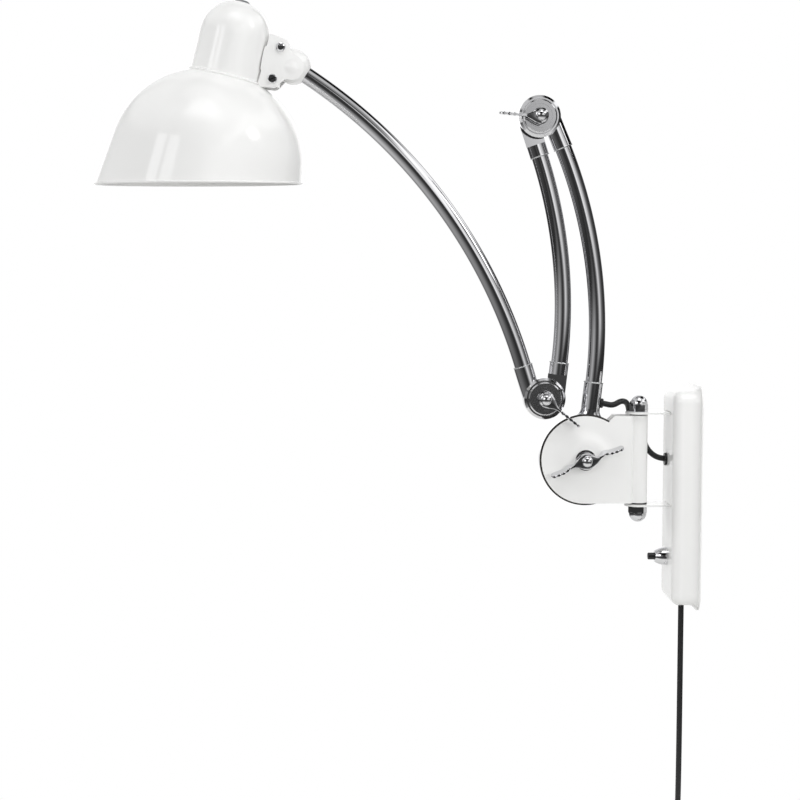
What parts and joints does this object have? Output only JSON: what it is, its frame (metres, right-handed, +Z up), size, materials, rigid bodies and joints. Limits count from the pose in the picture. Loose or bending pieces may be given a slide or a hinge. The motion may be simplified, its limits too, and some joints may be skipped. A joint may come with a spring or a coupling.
{
  "type": "articulating wall lamp",
  "caption": "Wall lamp with a domed shade on a ball joint at the end of three curved folding arms, swivelling from a slim wall box.",
  "frame": {"origin": "centre of the wall fixing, in the plane of the wall", "axes": "+Z up, the lamp reaches out along -X from the wall at X = 0, the clamp nuts face -Y"},
  "size_m": [0.6176, 0.204, 1.0828],
  "materials": {
    "white_lacquer": "gloss",
    "chrome": "polished",
    "zinc_steel": "satin",
    "dark_fibre": "matte",
    "black_plastic": "gloss",
    "black_pvc": "satin",
    "nylon": "matte",
    "opal_glass": "gloss",
    "bulb_shell": "satin"
  },
  "bodies": {
    "wall_mount": {"wall_cover": "white_lacquer", "wall_plate": "zinc_steel", "cover_screws": "zinc_steel", "hinge_bracket": "white_lacquer", "bracket_rivets": "zinc_steel", "hinge_pin": "zinc_steel", "hinge_nuts": "chrome", "hinge_washers": "dark_fibre", "push_switch": "black_plastic", "switch_bell": "chrome", "terminal_block": "black_plastic", "wall_grommet": "black_pvc", "cord_gland": "black_pvc", "mains_cord": "black_pvc", "cord_coil": "black_pvc", "cord_tail": "black_pvc", "cord_tie": "black_plastic", "plug_body": "black_plastic", "plug_pins": "zinc_steel"},
    "button": {"switch_button": "black_plastic"},
    "swivel": {"swivel_cheeks": "white_lacquer", "barrel_bushes": "nylon", "base_bolt": "chrome", "base_washers": "chrome", "friction_rings": "dark_fibre", "link_flex": "black_pvc"},
    "base_nut": {"base_wing_nut": "chrome"},
    "lower_arm": {"pivot_drum": "chrome", "arm_1_tube": "chrome", "arm_1_elbow": "chrome", "arm_1_grommet": "black_pvc", "elbow_1_cap": "chrome"},
    "middle_arm": {"arm_2_tube": "chrome", "arm_2_upper_elbow": "chrome", "arm_2_lower_elbow": "chrome", "elbow_bolts": "chrome", "elbow_washers": "dark_fibre"},
    "upper_nut": {"elbow_1_wing_nut": "chrome"},
    "lower_nut": {"elbow_2_wing_nut": "chrome"},
    "upper_arm": {"arm_3_tube": "chrome", "arm_3_elbow": "chrome", "elbow_2_cap": "chrome"},
    "ball": {"head_ball": "white_lacquer"},
    "head": {"lamp_cap": "white_lacquer", "cap_finial": "chrome", "support_rod": "zinc_steel", "shade": "white_lacquer", "shade_ring": "black_plastic", "lampholder": "black_plastic", "bulb_glass": "opal_glass", "bulb_cap": "bulb_shell", "clamp_plate_near": "white_lacquer", "clamp_plate_far": "white_lacquer", "clamp_saddle": "white_lacquer", "clamp_screws": "chrome", "saddle_screw": "zinc_steel"}
  },
  "joints": [
    {"name": "button_press", "type": "slide", "parent": "wall_mount", "child": "button", "axis": [1, 0, 0], "range_m": [0, 0.0025], "stiffness_N_per_m": 900, "springref_m": -0.001},
    {"name": "swivel_turn", "type": "hinge", "parent": "wall_mount", "child": "swivel", "pos_m": [-0.0591, 0, 0.039], "axis": [0, 0, 1], "range_deg": [-80, 80], "deforming": ["link_flex"]},
    {"name": "lower_arm_tilt", "type": "hinge", "parent": "swivel", "child": "lower_arm", "pos_m": [-0.1157, 0, 0.039], "axis": [0, 1, 0], "range_deg": [-75, 12], "deforming": ["link_flex"]},
    {"name": "middle_arm_fold", "type": "hinge", "parent": "lower_arm", "child": "middle_arm", "pos_m": [-0.16504, 0, 0.3902], "axis": [0, 1, 0], "range_deg": [-2, 120]},
    {"name": "upper_arm_fold", "type": "hinge", "parent": "middle_arm", "child": "upper_arm", "pos_m": [-0.15794, 0, 0.10246], "axis": [0, 1, 0], "range_deg": [-110, 20]},
    {"name": "ball_spin", "type": "hinge", "parent": "upper_arm", "child": "ball", "pos_m": [-0.41523, 0, 0.44011], "axis": [-0.8377, 0, 0.5461], "range_deg": [-90, 90]},
    {"name": "head_tilt", "type": "hinge", "parent": "ball", "child": "head", "pos_m": [-0.41523, 0, 0.44011], "axis": [0, 0.9995, 0.0332], "range_deg": [-38, 100]},
    {"name": "base_nut_turn", "type": "hinge", "parent": "swivel", "child": "base_nut", "pos_m": [-0.1157, 0, 0.039], "axis": [0, 1, 0], "range_deg": [-60, 60]},
    {"name": "upper_nut_turn", "type": "hinge", "parent": "middle_arm", "child": "upper_nut", "pos_m": [-0.16504, 0, 0.3902], "axis": [0, 1, 0], "range_deg": [-180, 180]},
    {"name": "lower_nut_turn", "type": "hinge", "parent": "middle_arm", "child": "lower_nut", "pos_m": [-0.15794, 0, 0.10246], "axis": [0, 1, 0], "range_deg": [-180, 180]}
  ]
}
